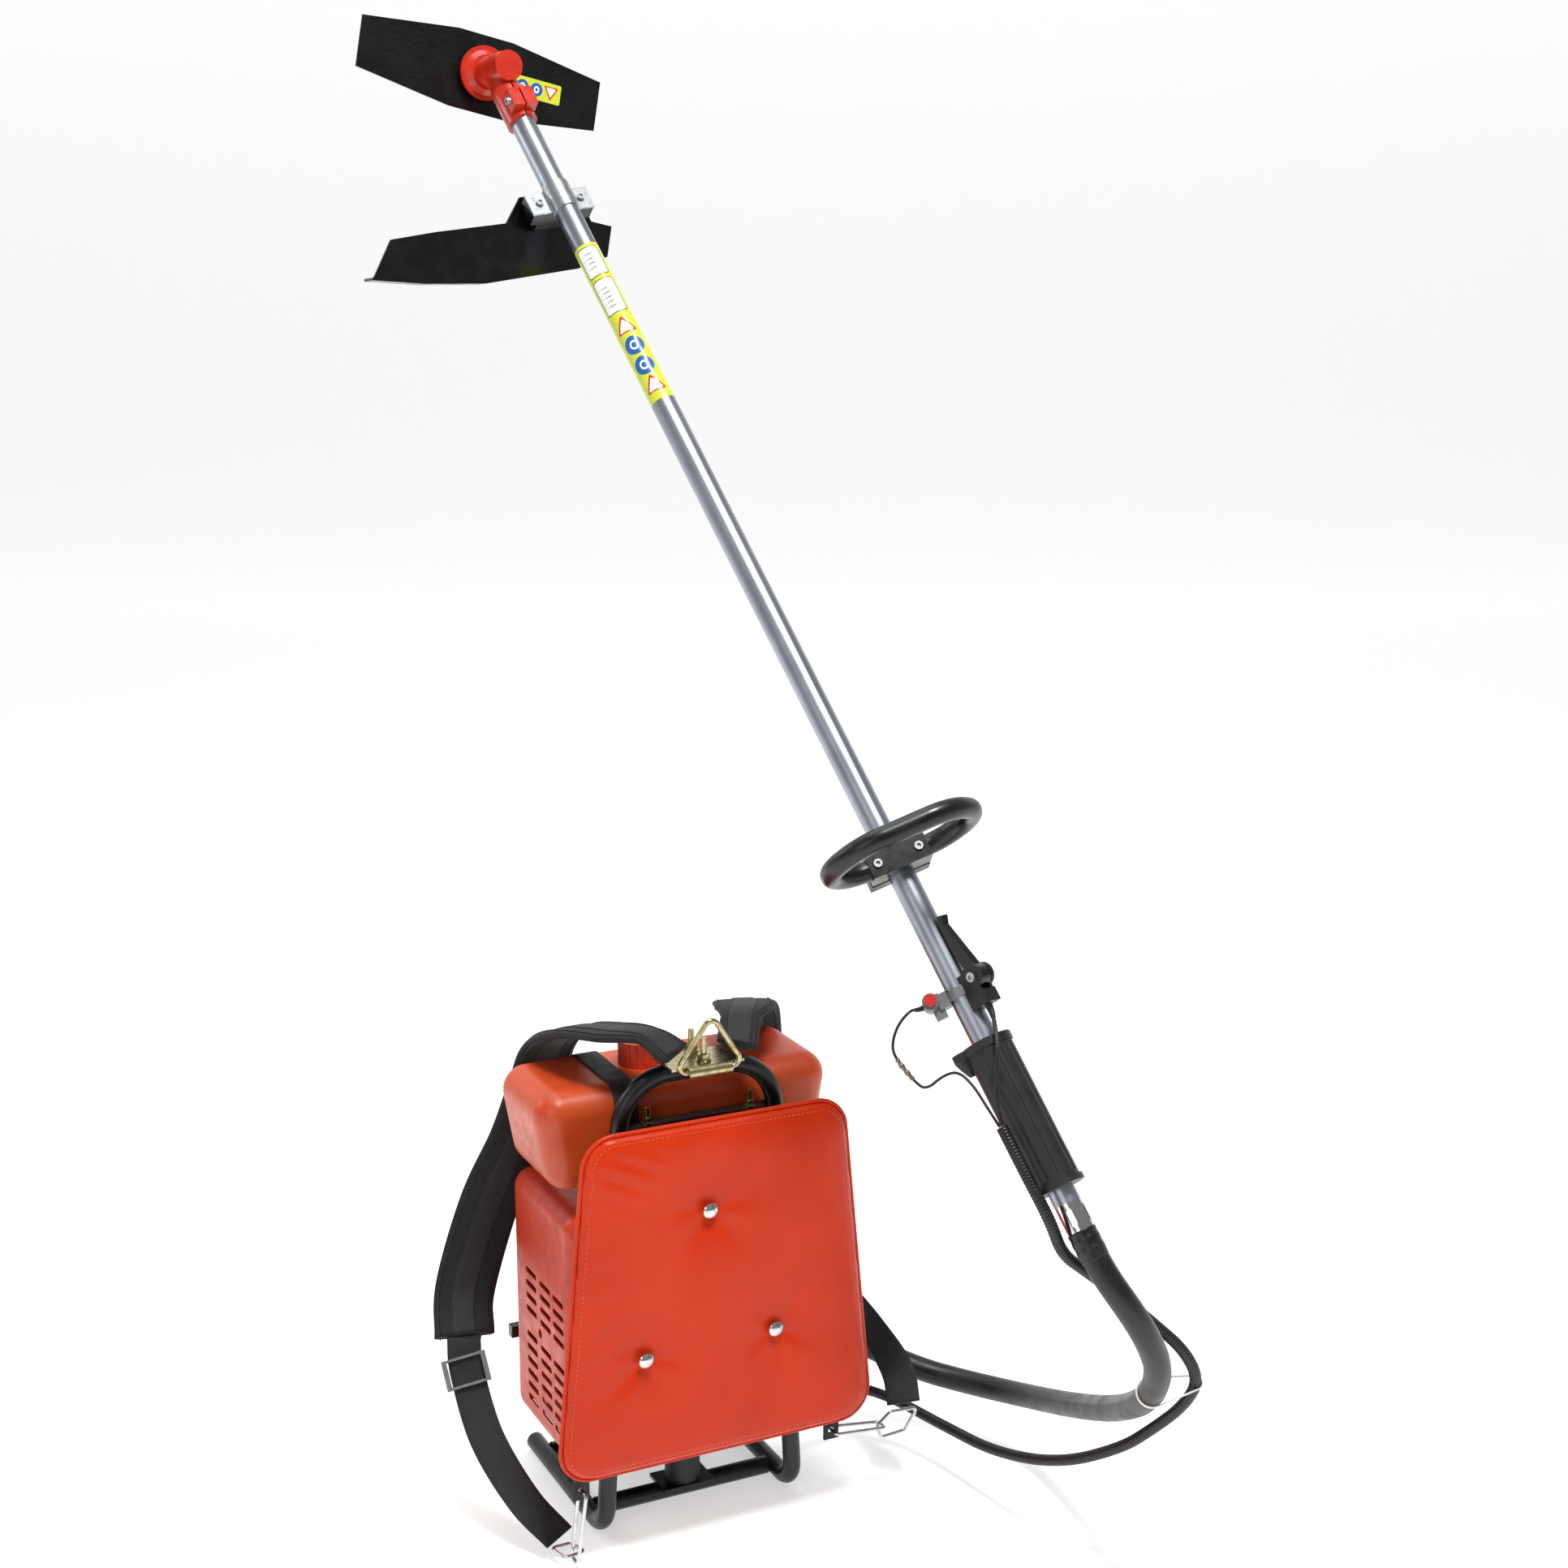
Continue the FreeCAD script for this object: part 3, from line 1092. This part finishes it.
def clutch_housing():
    bell = cylinder("bell_outer", S.drum_d + 14, 44, at(60, cy, cz, X))
    nose = cone("bell_nose", S.drum_d + 10, 42, 20, at(104, cy, cz, X))
    snout = cylinder("bell_snout", 38, 34, at(122, cy, cz, X))
    room = cylinder("bell_room", S.drum_d + 5, 41, at(60, cy, cz, X))
    bearing = cylinder("bell_bearing_seat", 28, 12, at(100, cy, cz, X))
    way = cylinder("bell_way", 12.4, 80, at(90, cy, cz, X))
    ferrule_seat = cylinder("bell_ferrule_seat", S.ferrule_d - 4, 20, at(144, cy, cz, X))
    return cut("clutch_housing", fuse("bell_blank", bell, nose, snout), room, bearing, way,
               ferrule_seat)


node(clutch_housing())
hose_exit = 178.0
coupling = fuse("coupling_blank", cylinder("coupling_spigot", S.ferrule_d - 4, 13, at(144, cy, cz, X)),
                cylinder("coupling_sleeve", S.ferrule_d, hose_exit - 156.2, at(156.2, cy, cz, X)))
node(cut("hose_coupling", coupling, cylinder("coupling_bore", 12.4, 60, at(140, cy, cz, X))))

node(cut("carburettor", fuse("carb_blank", box("carb_body", 24, 30, 34, at(58.5, cy, air_z - 17)),
                             cylinder("carb_bowl", 22, 8, at(58.5, cy, air_z - 25))),
         cylinder("carb_throat", 16, 60, at(40, cy, air_z, X))))
node(rounded_box("air_cleaner", 46, 96, 88, 10.0, at(94.2, cy, air_z - 40)))
node(cut("muffler", rounded_box("muffler_can", 84, 34, 78, 8.0, at(0, cy + 62, cyl_low)),
         cylinder("muffler_outlet", 10, 30, at(-20, cy + 70, cyl_low + 60, Y))))

# ------------------------------------------------------------------ straps and their hardware


def ribbon(name, stations):
    """A strap: flat sections set square to a route, each with its width, thickness and face."""
    points = [V(*st[:3]) for st in stations]
    wires = []
    for i, (point, (wide, thick), face) in enumerate(
            zip(points, [st[3] for st in stations], [V(*st[4]) for st in stations])):
        ahead = (points[min(i + 1, len(points) - 1)] - points[max(i - 1, 0)]).normalize()
        outward = (face - ahead * face.dot(ahead)).normalize()
        across = ahead.cross(outward) * (float(wide) / 2)
        rise = outward * (float(thick) / 2)
        ring = [point + across + rise, point - across + rise, point - across - rise,
                point + across - rise]
        wires.append(Part.makePolygon(ring + ring[:1]))
    return made(name, Part.makeLoft(wires, True, True))


PADDED, WEB = (S.strap_wide, S.strap_thick), (S.web_wide, S.web_thick)
NARROW = (44.0, S.strap_thick)
node(ribbon("left_strap", [
    (-36, 17, 553, NARROW, (0, -0.5, 1)), (-54, 45, 567, NARROW, (0, 0, 1)),
    (-78, 80, 564, PADDED, (0, 0.1, 1)), (-100, 150, 548, PADDED, (0, 0.3, 0.95)),
    (-104, 212, 512, PADDED, (0, 0.7, 0.7)), (-110, 243, 455, PADDED, (0.05, 0.95, 0.3)),
    (-126, 262, 388, PADDED, (0.15, 0.97, 0.15)), (-160, 267, 315, PADDED, (0.3, 0.93, 0)),
    (-199, 245, 228, PADDED, (0.44, 0.88, -0.2)), (-215, 204, 190, PADDED, (0.4, 0.8, -0.4)),
    (-218, 197, 183, WEB, (0.4, 0.8, -0.4)), (-221, 180, 158, WEB, (0.35, 0.7, -0.6)),
    (-217, 130, 101, WEB, (0.25, 0.7, -0.65)), (-196, 75, 50, WEB, (0.15, 0.55, -0.8)),
    (-171, 32, 20, WEB, (0.1, 0.4, -0.9))]))
node(ribbon("right_strap", [
    (36, 17, 553, NARROW, (0, -0.5, 1)), (56, 50, 570, NARROW, (0, 0, 1)),
    (78, 85, 568, PADDED, (0, 0.1, 1)), (105, 150, 550, PADDED, (0.1, 0.3, 0.95)),
    (145, 212, 510, PADDED, (0.1, 0.7, 0.7)), (165, 240, 440, PADDED, (0.1, 0.97, 0.2)),
    (180, 245, 360, PADDED, (0.1, 0.99, 0)), (192, 240, 300, PADDED, (0.2, 0.97, 0)),
    (213, 208, 228, PADDED, (0.55, 0.83, 0)), (219, 192, 212, WEB, (0.65, 0.75, 0)),
    (229, 150, 185, WEB, (0.85, 0.45, 0.1)), (241, 85, 150, WEB, (0.75, 0.6, -0.1)),
    (245, 35, 122, WEB, (0.5, 0.8, -0.3)), (238, 7, 96, WEB, (0.43, 0.87, -0.35))]))

RIGHT_WIRE = [(202, 4, 77), (219, 4, 90.5), (255, 4, 88.5), (238, 4, 64), (208, 4, 62)]
LEFT_WIRE = [(-183, 27, 13), (-160, 27, 13), (-152, 6, 12), (-176, 4, 12)]
RIGHT_HOOK = [(147, 17, 83), (147, -3, 83), (209, -3, 77), (209, 12, 77)]
LEFT_HOOK = [(-153, 17, 83), (-153, -4, 83), (-164, -4, 5), (-164, 13, 5)]
buckle_place = Placement(V(-223, 176, 161.5), Rotation(V(0.935, -0.27, 0.231), V(0.009, -0.633, -0.774),
                                                       V(0, 0, 1), "XYZ"))
hardware = [swept(f"strap_wire_{i}", 4.0, points, [4.2] * len(points), closed=True)
            for i, points in enumerate((RIGHT_WIRE, LEFT_WIRE, RIGHT_HOOK, LEFT_HOOK))]
buckle = cut("buckle_frame", box("buckle_plate", 50, 34, 5, buckle_place.multiply(at(0, 0, -2.5))),
             box("buckle_window", float(S.web_wide) + 0.8, 28, 9, buckle_place.multiply(at(0, 0, -4.5))))
node(group("strap_hardware", *hardware, buckle))

# ------------------------------------------------------------------ cords



def beside_wand(places):
    """Route points given as sideways offsets and a distance along the wand."""
    return [tuple(WAND.multVec(V(*p))) for p in places]


cord("drive_hose", S.hose_d, beside_wand([(0, 0, S.ferrule_end.value), (0, 0, 1507)]) + [
    (262, -388, 378), (285, -391, 342), (311, -379, 296), (326, -344, 245), (353, -254, 184),
    (375, -137, 128), (385, -21, 84), (354, 54, 73), (311, 98, 80), (272, 132, 98), (228, cy, cz),
    (hose_exit, cy, cz)])
cord("cable_conduit", S.conduit_d, beside_wand([
    (12.2, 35.6, 1345), (14.4, 36.8, 1396), (4.9, 29.6, 1446), (-21, 19, 1476), (-31, -4, 1500)]) + [
    (290, -347, 360), (322, -352, 330), (353, -362, 299), (372, -362, 262), (373, -335, 221),
    (362, -300, 182), (346, -268, 148), (320, -192, 99), (303, -88, 65), (292, 5, 55),
    (262, 90, 62), (215, 102, 80), (165, 98.5, 98), (116.5, 98, 100)])
cord("throttle_cable", S.cable_d, beside_wand([
    (22.55, -8.21, 1228.5), (22.55, -8.21, 1238), (32, 4, 1257), (33, 12, 1275), (28, 25, 1298),
    (17, 35, 1325), (14.6, 35.8, 1343.4)]))
cord("switch_wire", S.wire_d, [
    (152.5, -177.7, 634.5), (146.4, -175.8, 631.7), (130.3, -189.3, 638.9), (116.5, -186.5, 623.1),
    (109.6, -188.1, 603.4), (112.7, -193, 590.1), (127, -205, 569), (136, -212, 561),
    (151, -221, 577.3)] + beside_wand([(0, 44, 1276), (5, 39, 1295), (9, 38.5, 1322), (9.4, 36, 1343.4)]))

# ------------------------------------------------------------------ finish

doc.recompute()
for obj in doc.Objects:
    if {"Invalid", "Error"} & set(obj.State):
        raise RuntimeError(f"{obj.Name} did not build: {obj.State}")

corded = {name for name, volume in CORDS}
placed = []
for obj, frame in NODES:
    shape = obj.Shape.copy()
    shape.transformShape(frame.toMatrix())
    placed.append(shape)
solid_box = FreeCAD.BoundBox()
for (obj, frame), shape in zip(NODES, placed):
    if obj.Name not in corded:
        solid_box.add(shape.optimalBoundingBox(False))
shift = at(-(solid_box.XMin + solid_box.XMax) / 2, -(solid_box.YMin + solid_box.YMax) / 2,
           -solid_box.ZMin)
print("shift", shift.Base)
for obj, frame in NODES:
    obj.Placement = shift.multiply(frame).multiply(obj.Placement)
doc.recompute()

for name, volume in CORDS:
    built = doc.getObject(name).Shape.Volume
    if abs(built / volume - 1) > 0.01:
        raise RuntimeError(f"{name}: volume {built:.0f}, section times length {volume:.0f}")

os.makedirs("parts", exist_ok=True)
for obj, frame in NODES:
    if obj.Shape.isNull() or not obj.Shape.isValid():
        raise RuntimeError(f"{obj.Name} is not a valid shape")
    obj.Shape.exportStep(f"parts/{obj.Name}.step")
print(len(NODES), "sub-parts")
